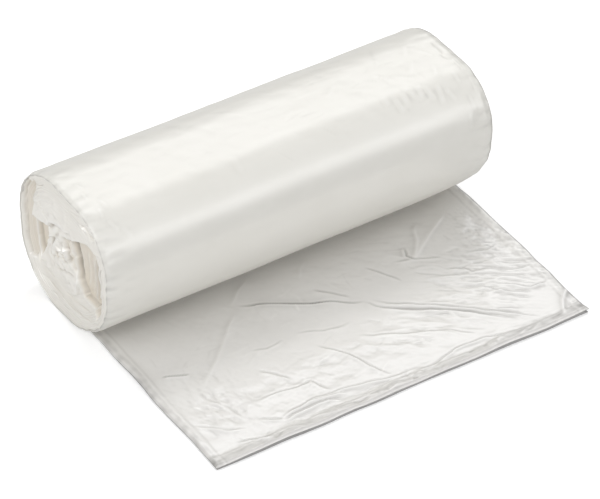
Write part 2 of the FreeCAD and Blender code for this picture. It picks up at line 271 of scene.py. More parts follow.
def filmPaint(name, **changes):
    look = {**filmLook, **changes}
    paint = Shader(bpy.data.materials.new(name))
    place = paint.node("ShaderNodeTexCoord", output="Object")
    lines = paint.node("ShaderNodeMapping", sockets={"Vector": place, "Scale": look["lineStretch"]})
    cloud = paint.node("ShaderNodeTexNoise", sockets={
        "Vector": place, "Scale": look["cloudScale"], "Detail": 4.0, "Roughness": 0.55})
    drawLines = paint.node("ShaderNodeTexNoise", sockets={
        "Vector": lines, "Scale": 1.0, "Detail": 3.0, "Roughness": 0.6})
    crinkle = paint.node("ShaderNodeTexNoise", {"noise_type": "RIDGED_MULTIFRACTAL"}, {
        "Vector": place, "Scale": look["crinkleScale"], "Detail": 3.0, "Distortion": 0.6})
    bump = paint.node("ShaderNodeBump", sockets={
        "Height": crinkle,
        "Strength": look["bumpStrength"],
        "Distance": look["bumpDistance"]})
    colour = paint.mixColours(cloud, look["pale"], look["deep"])
    if look["innerTone"]:  # painted shade in the ends' recesses, darker and browner the deeper the film lies, with the browner look of film seen through many turns
        along = paint.node("ShaderNodeSeparateXYZ", sockets={"Vector": place}, output="X")
        along = along - 0.5 * (leftRim + rightRim) * mm
        behind = 0.5 * (rightRim - leftRim) * mm - along.maths("MAXIMUM", along, 0 - along)
        inner = paint.node("ShaderNodeValToRGB", {"stops": look["innerShadeStops"]},
                           {"Fac": behind * (1 / look["innerReach"])})
        colour = paint.mixColours(inner, colour, look["innerTone"])
    # The shade attribute darkens the colour as painted shade and, where it is negative, lightens it as
    # painted highlight
    shade = paint.node("ShaderNodeAttribute", {"attribute_name": "shade"}, output="Fac")
    colour = paint.mixColours(shade, colour, look["shadeTone"])
    colour = paint.mixColours(0.0 - shade, colour, look["crestHighlightTone"])
    shader = paint.node("ShaderNodeBsdfPrincipled", sockets={
        "Base Color": colour,
        "Roughness": cloud * look["hazeSwing"] + drawLines * look["lineHaze"] + look["haze"],
        "Normal": bump,
        "IOR": look["ior"],
        "Specular IOR Level": look["gloss"],
        "Coat Weight": look["coat"],
        "Coat Roughness": look["coatHaze"]})
    paint.node("ShaderNodeOutputMaterial", sockets={"Surface": shader})
    return paint.owner


wrapPaint = filmPaint("wrapped film", bumpStrength=0.05)
bagPaint = filmPaint("flat film", pale=(0.83, 0.815, 0.79, 1.0), deep=(0.77, 0.755, 0.73, 1.0),
                     haze=0.17, gloss=0.7, coat=0.14, bumpStrength=0.46, crinkleScale=130.0)
# Dark grey in the slits where the bag's layers part: painted shadow
slitShadowPaint = filmPaint("painted shadow between film layers", pale=(0.36, 0.35, 0.34, 1.0), deep=(0.30, 0.29, 0.28, 1.0),
                      haze=0.4)
endPaint = filmPaint("film edges", pale=(0.92, 0.90, 0.85, 1.0), deep=(0.86, 0.83, 0.76, 1.0),
                     haze=0.29, shadeTone=(0.36, 0.31, 0.25, 1.0), innerTone=(0.76, 0.70, 0.60, 1.0))
print("materials made")


# The outermost turn

def cornerRadii():  # up the back, then down the front
    backLower, frontLower = outline["backLowerRadius"], outline["frontLowerRadius"]
    backUpper = rollHeight - backLower - outline["backFlat"]
    frontUpper = rollHeight - outline["filmStack"] - frontLower - outline["frontFlat"]
    return backLower, backUpper, frontUpper, frontLower


def sectionRing(count):  # evenly spaced points of the section with their normals, and their places in mm
    backLower, backUpper, frontUpper, frontLower = cornerRadii()
    corners = [
        (rollDepth - backLower, backLower, backLower),
        (rollDepth - backUpper, rollHeight - backUpper, backUpper),
        (frontUpper - rollDepth, rollHeight - frontUpper, frontUpper),
        (frontLower - rollDepth, outline["filmStack"] + frontLower, frontLower),
    ]
    steps = 120
    points, normals = [], []
    for quarter, (centreY, centreZ, radius) in enumerate(corners):
        angle = math.radians(90) * (quarter - 1 + np.linspace(0.0, 1.0, steps))
        normal = np.stack([np.cos(angle), np.sin(angle)], axis=1)
        points.append(np.array([centreY, centreZ]) + radius * normal)
        normals.append(normal)
    points.append(points[0][:1])
    normals.append(normals[0][:1])
    points, normals = np.concatenate(points), np.concatenate(normals)
    walked = np.concatenate([[0.0], np.cumsum(np.hypot(*np.diff(points, axis=0).T))])
    places = np.arange(count) * walked[-1] / count
    ring = [np.interp(places, walked, column) for column in (*points.T, *normals.T)]
    return np.stack(ring[:2], axis=1), np.stack(ring[2:], axis=1), places, walked[-1]


outerTurn = {
    "around": 330,
    "along": 290,
    "wall": 0.45,
    "leftInset": 0.5,  # how far the left rim stays within the solid's
    "leftWander": 0.7,  # how unevenly the film's two edges were wound
    "rightWander": 0.5,
    "curl": 1.1,  # how far the edges lean in
    "curlReach": 5.0,
    "gauge": 0.16,  # thicker and thinner stretches of the folded web
    "gaugeLength": 30.0,
    "crimp": 0.34,  # crumpling near the two rims: height, count round the roll, length, reach
    "crimpCount": 46,
    "crimpLength": 16.0,
    "crimpReach": 10.0,
    "wrinkleHeight": 1.2,  # times the heights in the list below
    "wrinkleWidth": 0.75,
    "strayCount": 60,
    "strayWidth": 0.9,
    "leftShade": 0.22,  # painted shade on the left and on the right rim
    "rightShade": 0.45,
    "hollowShade": 1.2,
    "rightReach": 0.5,  # how far the right rim passes the solid's
    "bulge": 0.8,  # and how much farther it stands out at the front
    "bulgePlace": 210.0,
    "bulgeSpread": 30.0,
    "tuck": 3.0,  # the lower front of the right end is drawn in
    "tuckPlace": 268.0,
    "tuckSpread": 24.0,
    "tuckReach": 13.0,
}

# Waves of the outermost turn: height, count round the roll, length along it, start, seed
turnWaves = [
    (0.36, 6, 80.0, 0.0, 11),  # slack
    (0.22, 13, 400.0, 0.2, 12),  # stretches that are flatter than their neighbours
]
topFolds = [  # height, count round the roll, length along it, seed
    (0.06, 11, 34.0, 14),  # dents
    (0.06, 34, 11.0, 15),  # crinkles
]

# Short wrinkles of the outermost turn: place along the roll, place round it, length, heading, height
turnWrinkles = [
    (74, 182, 11, 80, 0.32), (79, 180, 12, 104, 0.36), (85, 178, 13, 72, 0.34), (90, 179, 12, 108, 0.38),
    (95, 181, 13, 78, 0.36), (101, 184, 14, 100, 0.36), (107, 187, 10, 70, 0.30), (68, 176, 8, 95, 0.22),
    (88, 164, 16, 40, 0.24), (98, 158, 14, 128, 0.22), (78, 158, 15, 55, 0.20), (108, 168, 12, 115, 0.26),
    (60, 160, 18, 35, 0.18), (46, 152, 16, 140, 0.16), (112, 150, 12, 60, 0.24), (104, 142, 14, 118, 0.20),
    (116, 178, 10, 96, 0.30), (118, 196, 12, 84, 0.26), (120, 164, 8, 70, 0.26), (114, 206, 10, 100, 0.20),
    (-120, 186, 9, 70, 0.28), (-123, 176, 7, 105, 0.30), (-118, 170, 10, 84, 0.28),
    (-114, 192, 8, 60, 0.22), (-124, 160, 8, 95, 0.26), (-122, 150, 7, 75, 0.24),
    (121, 150, 16, 93, -0.40), (122.5, 170, 15, 87, 0.38), (119.5, 160, 11, 82, -0.28),
    (123, 186, 12, 92, 0.30),
]


def edgeWander(share, size, seed):  # 5 long and 17 short waves round the roll, share is 1 after a lap
    return size * (noise(share * 5, 0.3, seed, 5) + 0.5 * noise(share * 17, 0.7, seed + 1, 17))


def turnRelief(along, place, share):  # how far the outermost turn stands off its plain section
    relief = outerTurn["gauge"] * noise(0.4 + 0 * share, along / outerTurn["gaugeLength"], 13)
    for height, count, length, start, seed in turnWaves:
        relief = relief + height * noise(share * count, along / length + start, seed, count)
    topSide = smooth(np.cos(2 * math.pi * (share - 0.42)), 0.2, 0.9)  # the top is 0.42 of the way round
    for height, count, length, seed in topFolds:
        relief = relief + height * topSide * crumple(share * count, along / length, seed)
    for rim, seed in ((leftRim, 21), (rightRim + outerTurn["rightReach"], 22)):
        inside = np.abs(along - rim)
        crimp = crumple(share * outerTurn["crimpCount"], along / outerTurn["crimpLength"], seed, 4)
        relief = relief + outerTurn["crimp"] * crimp * np.exp(-inside / outerTurn["crimpReach"])
        relief = relief - outerTurn["curl"] * (1 - smooth(inside, 0, outerTurn["curlReach"])) ** 2
    drawnIn = np.exp(-((place - outerTurn["tuckPlace"]) / outerTurn["tuckSpread"]) ** 2)
    relief = relief - outerTurn["tuck"] * drawnIn * np.exp(-(rightRim - along) / outerTurn["tuckReach"])
    rng = np.random.default_rng(16)
    strays = [(rng.uniform(-60, 120), rng.uniform(128, 186), rng.uniform(6, 22), rng.normal(18, 40),
               rng.choice([-1, 1]) * rng.uniform(0.04, 0.12)) for _ in range(outerTurn["strayCount"])]
    for wrinkles, times, width in ((turnWrinkles, outerTurn["wrinkleHeight"], outerTurn["wrinkleWidth"]),
                                   (strays, 1.0, outerTurn["strayWidth"])):
        for wrinkleAlong, wrinklePlace, length, heading, height in wrinkles:
            runX = 0.5 * length * math.cos(math.radians(heading))
            runY = 0.5 * length * math.sin(math.radians(heading))
            path = [(wrinkleAlong - runX, wrinklePlace - runY), (wrinkleAlong + runX, wrinklePlace + runY)]
            relief = relief + ridge(along, place, path, height * times, width)
    return relief


def restingShare(normals):  # 0 where the roll rests, which is flat
    return smooth(normals[:, 1], -1.0, -0.9)[:, None]


def makeOuterTurn():
    around = outerTurn["around"]
    ring, normals, places, girth = sectionRing(around)
    share = places / girth
    even = np.linspace(0.0, 1.0, outerTurn["along"])
    spacing = even - 0.8 * np.sin(4 * math.pi * even) / (4 * math.pi)  # closer near both rims
    left = leftRim + outerTurn["leftInset"] + edgeWander(share, outerTurn["leftWander"], 31)
    right = rightRim + outerTurn["rightReach"] + edgeWander(share, outerTurn["rightWander"], 33)
    bulging = np.exp(-((places - outerTurn["bulgePlace"]) / outerTurn["bulgeSpread"]) ** 2)
    right = right + outerTurn["bulge"] * bulging
    along = mix(left[:, None], right[:, None], spacing[None, :])
    shareGrid = np.broadcast_to(share[:, None], along.shape)
    placeGrid = np.broadcast_to(places[:, None], along.shape)
    relief = turnRelief(along, placeGrid, shareGrid) * restingShare(normals)
    # Painted shade along both rims and in hollows, and painted highlight on the crests
    shade = outerTurn["leftShade"] * (1 - smooth(along - left[:, None], 0.2, 1.1))
    shade = shade + outerTurn["rightShade"] * (1 - smooth(right[:, None] - along, 0.3, 1.5))
    shade = shade + outerTurn["hollowShade"] * hollowness(relief, 2, 2, True)
    wall = outerTurn["wall"]
    # rings of its inner side: place along the roll, depth below the rim
    inner = [(right - 0.1, -0.8 * wall), (right - 3.0, -wall), (right - 9.0, -3.0),
             (left + 9.0, -3.0), (left + 3.0, -wall), (left + 0.1, -0.8 * wall)]
    edgeRelief = [relief[:, -1], relief[:, -1], 0 * left, 0 * left, relief[:, 0], relief[:, 0]]
    along = np.concatenate([along] + [column[:, None] for column, _ in inner], axis=1)
    sunk = [(edge + depth)[:, None] for edge, (_, depth) in zip(edgeRelief, inner)]
    relief = np.concatenate([relief] + sunk, axis=1)
    shade = np.pad(shade, ((0, 0), (0, len(inner))), constant_values=outerTurn["leftShade"])
    across = ring[:, None, 0] + normals[:, None, 0] * relief
    upward = ring[:, None, 1] + normals[:, None, 1] * relief
    points = np.stack([along, across, upward], axis=2).reshape(-1, 3)
    faces = gridFaces(around, along.shape[1], closeRows=True, closeColumns=True, flip=True)
    meshPiece("outer_turn", points, faces, wrapPaint, shade.reshape(-1))


makeOuterTurn()


# The two ends

roundEnd = {
    "around": 400,
    "firstInset": 0.55,
    "step": 0.2,
    "room": 23.5,  # rows follow the rim up to here, then close in on the middle
    "coreRows": 56,
    "coreReach": 21.0,
    "rimDepth": 0.8,
    "sitBack": 0.3,
    "dish": 1.4,  # how much farther back its middle sits
    "tightPitch": 1.5,  # one visible bundle of turns
    "loosePitch": 2.6,
    "looseFrom": 11.0,  # the inset where the turns get loose
    "looseTo": 13.0,
    "gapDepth": 0.35,
    "wander": 0.28,
    "warp": 1.1,  # how far the folds below stray from straight runs
    "warpSize": 8.0,
    "creaseSize": 6.5,
    "broadFolds": 0.22,
    "broadSize": 12.0,
    "highest": 0.7,
    "lean": 0.3,  # how far at most the rim follows the outermost turn outwards
    "hollowShade": 0.7,
    "highlightLimit": -0.5,
}

# The folds of one end, as they lie across the roll and up it; the other end has them turned over
hollows = [  # corners, depth, softness of the sides
    ([(34, 53), (18, 57), (20, 47), (25, 36), (28, 27), (34, 38)], 3.6, 0.9),
    ([(-4, 60), (-14, 66), (-26, 73), (-35, 71), (-39, 58),
      (-39, 38), (-32, 30), (-20, 29), (-13, 39), (-10, 50)], 4.4, 0.9),
    ([(2, 58), (-8, 62), (-12, 52), (-13, 41), (-4, 44)], 1.8, 1.6),
    ([(47, 62), (48.5, 46), (47, 32), (41, 19), (36, 22), (39, 40), (40, 60), (36, 74), (41, 76)],
     3.0, 1.1),
    ([(-33, 36), (-34, 22), (-38, 27), (-42.5, 38), (-44, 58), (-42, 64), (-41, 44)], 2.6, 1.6),
]
flaps = [  # path, rise, width below it and above it
    ([(37, 51), (33, 54), (27, 55), (18, 57), (15, 61)], 2.6, 0.5, 9.0),
    ([(18, 55), (14, 62), (8, 65), (1, 67), (-6, 67)], 2.2, 0.5, 10.0),
    ([(16, 22), (0, 21), (-13, 27), (-14, 40)], 1.2, 0.6, 5.0),
    ([(-8, 63), (-18, 70), (-30, 76), (-40, 74)], 1.4, 0.7, 8.0),
]
laps = [  # path, rise or depth, half-width
    ([(30, 81), (36, 75), (38.5, 66), (39, 52), (38, 40), (36, 30), (31, 19)], -5.0, 1.7),
    ([(-31, 69), (-31.5, 50), (-31, 32)], 3.0, 0.9),
    ([(-35.5, 66), (-36, 52), (-35, 38)], -1.2, 0.9),
    ([(-40, 68), (-41.5, 50), (-38, 30)], 1.6, 0.8),
    ([(-43, 68), (-45.5, 52), (-43, 34), (-36, 20)], 1.2, 0.7),
    ([(-26, 66), (-27, 50), (-25, 34)], 1.0, 0.8),
    ([(-20, 62), (-21, 48), (-19, 34)], 0.7, 0.8),
    ([(-38, 66), (-39.5, 50), (-36, 32)], -1.2, 0.6),
    ([(-42, 66), (-43.5, 50), (-41, 34)], -1.0, 0.6),
    ([(28, 20), (10, 18.5), (-10, 19), (-30, 23)], -1.0, 0.7),
    ([(31, 13), (12, 11.5), (-12, 12), (-33, 17)], -0.8, 0.6),
    ([(24, 8), (4, 7), (-18, 9)], -0.6, 0.5),
    ([(35, 63), (24, 72), (8, 80)], 1.1, 1.6),
    ([(31, 58), (22, 66), (12, 72)], 1.0, 1.4),
    ([(38, 66), (32, 76), (20, 84)], -0.9, 1.0),
    ([(-22, 84), (-30, 82), (-38, 84)], -3.0, 1.1),
    ([(-10, 86), (-22, 90)], -0.7, 0.8),
    ([(17, 50), (10, 53), (2, 56)], 1.6, 1.3),
    ([(14, 43), (4, 47), (-3, 52)], 1.4, 1.3),
    ([(18, 34), (8, 40), (-4, 42)], -1.6, 0.9),
    ([(10, 30), (0, 35), (-10, 38)], -1.1, 0.7),
    ([(2, 24), (-6, 29), (-12, 30)], 0.7, 0.9),
]
swells = [  # middle, half-widths, rise, share of it that is crumpled
    ((8, 46), (13, 12), 2.6, 0.7),
    ((27, 27), (2.6, 3.0), 2.2, 0.1),
    ((20, 25), (2.4, 3.4), 1.8, 0.1),
    ((-4, 31), (11, 8), 1.6, 0.15),
    ((12, 70), (22, 9), 1.0, 0.4),
    ((-18, 80), (20, 7), 0.8, 0.15),
]


def within(across, up, corners, soft):  # 1 inside a polygon, 0 outside it, eased over the soft width
    nearest = np.full(across.shape, 1e9)
    inside = np.zeros(across.shape, bool)
    for (startX, startY), (stopX, stopY) in zip(corners, corners[1:] + corners[:1]):
        span = math.dist((startX, startY), (stopX, stopY))
        runX, runY = (stopX - startX) / span, (stopY - startY) / span
        reach = np.clip((across - startX) * runX + (up - startY) * runY, 0.0, span)
        nearest = np.minimum(nearest, np.hypot(across - startX - reach * runX, up - startY - reach * runY))
        if startY != stopY:
            meets = startX + (up - startY) * (stopX - startX) / (stopY - startY)
            inside ^= ((startY > up) != (stopY > up)) & (across < meets)
    return smooth(np.where(inside, nearest, -nearest), -soft, soft)


def endDepth(inset, share, across, up, seed):  # how far the end lies behind its rim
    look = roundEnd
    loose = smooth(inset, look["looseFrom"], look["looseTo"])
    pitch = mix(look["tightPitch"], look["loosePitch"], loose)
    lap = inset / pitch - share
    turn = np.floor(lap)
    part = lap - turn
    wound = turn + share
    lapShift = look["wander"] * (noise(wound * 7, 0.5, seed) + 0.6 * noise(wound * 23, 0.1, seed + 1))
    seen = mix(1.0, 0.3, smooth(inset, 10, 14)) * smooth(inset, 0.4, 1.4)  # how much of the turns shows
    depth = look["sitBack"] + look["dish"] * smooth(inset, 2, 11)
    depth = depth + seen * (lapShift + np.abs(2 * part - 1) ** 5 * look["gapDepth"])
    size = look["warpSize"] * mix(1.0, 2.0, loose)
    across = across + look["warp"] * noise(across / size, up / size, seed + 5)
    up = up + look["warp"] * noise(across / size, up / size, seed + 6)
    for corners, sunk, soft in hollows:
        depth = depth + sunk * within(across, up, corners, soft)
    for path, rise, below, above in flaps:
        depth = depth - ridge(across, up, path, rise, below, above, 0.0, 0.12)
    for path, rise, spread in laps:
        depth = depth - ridge(across, up, path, rise, spread, spread, 0.0, 0.15)
    folds = crumple(across / look["creaseSize"], up / look["creaseSize"], seed + 3)
    for (middleX, middleY), (halfX, halfY), rise, creased in swells:
        reach = np.exp(-((across - middleX) / halfX) ** 2 - ((up - middleY) / halfY) ** 2)
        depth = depth - rise * reach * (1 - creased + creased * folds)
    broad = crumple(across / look["broadSize"], up / look["broadSize"], seed + 4)
    depth = depth + look["broadFolds"] * broad * smooth(inset, 3, 9)
    return np.maximum(depth, -look["highest"])


def makeEnd(name, rim, inward, seed):  # inward is 1 for the left end and -1 for the right one
    look = roundEnd
    around = look["around"]
    ring, normals, places, girth = sectionRing(around)
    share = (places / girth)[:, None]
    insets = np.arange(look["firstInset"], look["room"], look["step"])
    lean = turnRelief(np.full((around, 1), rim), places[:, None], share) * restingShare(normals)
    toMiddle = np.linspace(0.0, 1.0, look["coreRows"] + 1)[1:] ** 0.9
    middle = np.array([0.0, rollHeight / 2])
    startOfCore = ring - look["room"] * normals
    sunk = insets[None, :] - np.minimum(lean, look["lean"]) * (1 - smooth(insets, 1.0, 9.0))[None, :]
    flatPoints = np.concatenate([
        ring[:, None, :] - sunk[:, :, None] * normals[:, None, :],
        mix(startOfCore[:, None, :], middle, toMiddle[None, :, None] * 0.995),
    ], axis=1)
    insetGrid = np.concatenate([insets, look["room"] + toMiddle * look["coreReach"]])[None, :] + 0 * share
    shareGrid = share + 0 * insetGrid
    acrossPoints, upPoints = flatPoints[:, :, 0], flatPoints[:, :, 1]
    if inward < 0:  # the far end has the same folds turned over
        acrossPoints, upPoints = -acrossPoints, rollHeight - upPoints
    depth = endDepth(insetGrid, shareGrid, acrossPoints, upPoints, seed)
    # Painted shade in the end's hollows and painted highlight on its crests, fading out at the rim
    shade = look["hollowShade"] * np.maximum(hollowness(-depth, 1, 4, True), look["highlightLimit"])
    shade = shade * smooth(insetGrid, 0.6, 1.8)
    shade = np.pad(shade, ((0, 0), (2, 0)))
    wander, wanderSeed = (outerTurn["leftWander"], 31) if inward > 0 else (outerTurn["rightWander"], 33)
    astray = edgeWander(share, wander, wanderSeed)  # as the edge of the outermost turn
    along = rim + inward * (look["rimDepth"] + depth) + astray * (1 - smooth(insetGrid, 3.0, 12.0))
    edge = ring - sunk[:, :1] * normals
    skirtPoints = np.stack([  # two rings inside the outermost turn
        np.concatenate([np.full((around, 1), rim + inward * place), edge], axis=1) for place in (12.0, 2.5)
    ], axis=1)
    facePoints = np.concatenate([along[:, :, None], flatPoints], axis=2)
    points = np.concatenate([skirtPoints, facePoints], axis=1)
    columns = points.shape[1]
    points = points.reshape(-1, 3)
    faces = gridFaces(around, columns, closeRows=True, flip=inward < 0)
    front = [row * columns + columns - 1 for row in range(around)]
    back = [row * columns for row in range(around)]
    faces.append(front if inward < 0 else front[::-1])
    faces.append(back[::-1] if inward < 0 else back)
    meshPiece(name, points, faces, endPaint, shade.reshape(-1))


makeEnd("left_end", leftRim, 1, 51)
makeEnd("right_end", rightRim + outerTurn["rightReach"], -1, 71)


# The pulled-out bag

bag = {
    "across": 372,
    "deep": 240,
    "underRoll": 6.0,  # how far it is modelled behind the middle of the roll
    "stack": 0.9,  # the folded film's thickness
    "ground": 0.1,  # how high its underside lies
    "leftInset": 7.0,  # from the roll's left rim to the bag's left edge
    "leftWander": 0.9,
    "rightEdge": 125.0,
    "rightWander": 0.6,
    "frontReach": 0.8,  # how far its front edge passes the solid's
    "frontSkew": 0.5 / 260,  # how much farther out it is for each mm to the right
    "frontWander": 0.6,
    "sideBand": 6.0,  # doubled film down each side
    "sideRise": 0.22,
    "hemBand": 7.5,
    "hemRise": 0.35,
    "facet": 0.18,
    "facetSize": 34.0,
    "warp": 1.3,  # how far the creases stray from straight runs
    "warpSize": 14.0,
    "edgeLift": 2.2,  # how high the film's edges stand off the table
    "liftReach": 11.0,
    "edgeBand": 1.6,  # the stack thins to one film within this
    "edgeFilm": 0.4,
    "slitDepth": 2.4,  # how far the layers part along the edges
    "lowerFilm": 0.33,  # the lowest layer's thickness, and how far it lies within the upper one
    "lowerInset": 0.3,
    "footInset": 12.0,  # where the film comes to rest on the table
    "halfSize": (130.0, 81.0),  # insets are measured against this
    "hollowShade": 1.5,  # painted shade in hollows and painted highlight on bulges, by how hollow the film is, from the palest to the darkest
    "highlightLimit": -0.4,
    "shadeLimit": 0.14,
    # Painted shade in the creases, along the hem, down the sides and on the edge line
    "foldShade": 0.46,
    "hemShade": 0.26,
    "sideShade": 0.18,
    "edgeShade": 0.16,
}

bagWaves = [  # height, length across the bag and along it, seed
    (0.42, 62.0, 48.0, 83),
    (0.12, 24.0, 20.0, 84),
]

# Creases: path in plan, height, width on its left and on its right, depth of the groove on its left
bagCreases = [
    ([(-46, -45), (-38, -50), (-25, -57), (-8, -67), (2, -72), (10, -77), (20, -84)], 1.3, 1.2, 7.0, 0.9),
    ([(18, -82), (22, -89), (26, -93), (60, -118), (75, -132), (82, -139)], 0.9, 1.0, 3.5, 0.85),
    ([(22, -83), (30, -90), (62, -115), (80, -131), (99, -149)], 1.1, 1.1, 1.6, 0.65),
    ([(-46, -46), (-72, -72), (-100, -98)], 0.9, 7.0, 2.0, 0.0),
    ([(-48, -44), (-38, -35), (-26, -26)], 0.7, 2.0, 3.0, 0.0),
    ([(84, -36), (74, -54), (65, -67)], 1.0, 3.5, 1.8, 0.0),
    ([(106, -38), (84, -52), (65, -67)], 0.9, 1.6, 4.0, 0.0),
    ([(64, -52), (61, -60), (66, -68)], 0.8, 1.4, 2.0, 0.5),
    ([(52, -62), (66, -67), (80, -73)], 0.6, 1.4, 2.0, 0.3),
    ([(35, -56), (41, -66), (47, -77)], 0.5, 1.2, 2.5, 0.3),
    ([(-2, -56), (15, -75)], 0.5, 1.2, 2.5, 0.3),
    ([(10, -30), (-2, -44)], 0.4, 2.0, 2.0, 0.0),
    ([(-114, -77), (-106, -80), (-99, -82)], 0.9, 1.0, 2.0, 0.7),
    ([(-66, -100), (-58, -110), (-51, -118)], 0.6, 1.2, 2.5, 0.4),
    ([(-27, -98), (-15, -115), (-10, -130), (-3, -144)], 0.8, 1.3, 3.0, 0.5),
    ([(-82, -121), (-60, -123), (-45, -124), (-36, -138)], 0.7, 1.3, 2.5, 0.4),
    ([(-76, -144), (-60, -142), (-45, -143), (-36, -148)], 0.9, 1.0, 1.4, 0.6),
    ([(-76, -141), (-55, -138), (-36, -141), (-30, -146)], 0.8, 1.4, 1.4, 0.4),
    ([(-107, -145), (-96, -149), (-86, -152)], 0.8, 1.2, 1.5, 0.55),
    ([(-86, -134), (-81, -139), (-74, -143)], 0.6, 1.2, 1.5, 0.4),
    ([(-72, -139), (-50, -137), (-28, -140), (0, -146), (20, -147)], 0.8, 1.8, 1.4, 0.4),
    ([(4, -148), (22, -149), (40, -145), (60, -146), (84, -151)], 0.9, 1.6, 1.4, 0.5),
    ([(110, -153), (117, -143), (126, -133)], 1.5, 3.0, 1.0, 0.0),
    ([(76, -82), (84, -88), (88, -97)], 0.8, 1.2, 1.6, 0.4),
    ([(60, -84), (80, -92), (104, -98)], 0.5, 1.4, 2.0, 0.2),
    ([(92, -76), (106, -82), (116, -78)], 0.6, 1.4, 2.0, 0.3),
    ([(92, -92), (108, -104), (122, -108)], 0.7, 1.4, 2.0, 0.4),
    ([(82, -104), (92, -118), (106, -126)], 0.6, 1.4, 1.8, 0.4),
    ([(96, -112), (108, -122), (122, -124)], 0.6, 1.2, 2.0, 0.4),
    ([(-4, -104), (20, -116), (38, -124), (52, -138)], 0.7, 1.6, 4.0, 0.3),
    ([(24, -118), (44, -128), (60, -140)], 0.6, 1.6, 3.5, 0.3),
    ([(46, -100), (60, -108), (70, -120)], 0.5, 1.4, 3.0, 0.2),
    ([(-120, -120), (-108, -132), (-96, -138)], 0.6, 1.4, 2.5, 0.3),
    ([(-104, -102), (-96, -118), (-93, -132)], 0.5, 2.4, 1.6, 0.2),
    ([(-60, -84), (-50, -87), (-38, -86)], 0.4, 1.4, 2.4, 0.2),
    ([(-30, -84), (-14, -92), (4, -94)], 0.4, 1.4, 2.8, 0.2),
]

creaseShadeStreaks = [  # painted shade in soft dark streaks beside creases: path, depth of the painted shade, width
    ([(-42, -48), (-25, -56.5), (-8, -66), (4, -72)], 0.52, 2.6),
    ([(63, -50), (61, -60), (65, -66)], 0.26, 2.2),
    ([(26, -93), (60, -118), (76, -132)], 0.16, 2.0),
]

# Crumpled patches: middle, half-widths, pitch along and across the folds, heading, height
bagPatches = [
    ((97, -104), (30, 26), 24, 6, -37, 0.42),
    ((112, -70), (14, 24), 14, 8, -60, 0.34),
    ((42, -120), (38, 18), 34, 12, -33, 0.34),
    ((-42, -122), (44, 20), 30, 13, -14, 0.30),
    ((-100, -112), (24, 26), 26, 13, -68, 0.38),
    ((0, -148), (120, 5), 34, 5, 0, 0.26),
    ((-60, -60), (50, 22), 40, 22, 40, 0.16),
    ((40, -50), (60, 22), 34, 20, -42, 0.16),
]

patchLayers = [  # folds in folds: share, how much finer along and across, seed
    (1.0, 1.0, 1.0, 101),
    (0.45, 2.1, 2.3, 121),
    (0.22, 4.6, 4.4, 141),
]

# Fields of small wrinkles: middle, spread, how many, heading and its spread, lengths, heights
bagWrinkles = [
    ((96, -104), (28, 24), 110, -37, 13, (7, 27), (0.16, 0.52)),
    ((110, -72), (12, 18), 30, -46, 18, (6, 18), (0.16, 0.50)),
    ((34, -118), (44, 20), 60, -33, 20, (5, 22), (0.08, 0.28)),
    ((-40, -124), (46, 18), 54, -12, 30, (5, 20), (0.08, 0.26)),
    ((-104, -118), (18, 22), 36, -62, 28, (5, 18), (0.08, 0.30)),
    ((-70, -72), (38, 22), 26, 38, 30, (8, 24), (0.05, 0.16)),
    ((40, -56), (52, 18), 30, -45, 30, (8, 22), (0.05, 0.16)),
    ((0, -151), (118, 3), 90, 0, 16, (4, 16), (0.12, 0.40)),
]


def softFolds(x, y):  # the bag's waves, facets and crumpled patches
    relief = sum(height * noise(x / lengthX, y / lengthY, seed)
                 for height, lengthX, lengthY, seed in bagWaves)
    facets = crumple(x / bag["facetSize"], y / bag["facetSize"], 85)
    relief = relief + bag["facet"] * facets * smooth(y, -60, -95)
    for patch, (middle, half, pitch, crossPitch, heading, height) in enumerate(bagPatches):
        cos, sin = math.cos(math.radians(heading)), math.sin(math.radians(heading))
        reach = np.exp(-((x - middle[0]) / half[0]) ** 2 - ((y - middle[1]) / half[1]) ** 2)
        alongFolds, acrossFolds = (x * cos + y * sin) / pitch, (y * cos - x * sin) / crossPitch
        folds = sum(share * crumple(finer * alongFolds, crossFiner * acrossFolds, seed + patch)
                    for share, finer, crossFiner, seed in patchLayers)
        relief = relief + height * folds * reach
    return relief


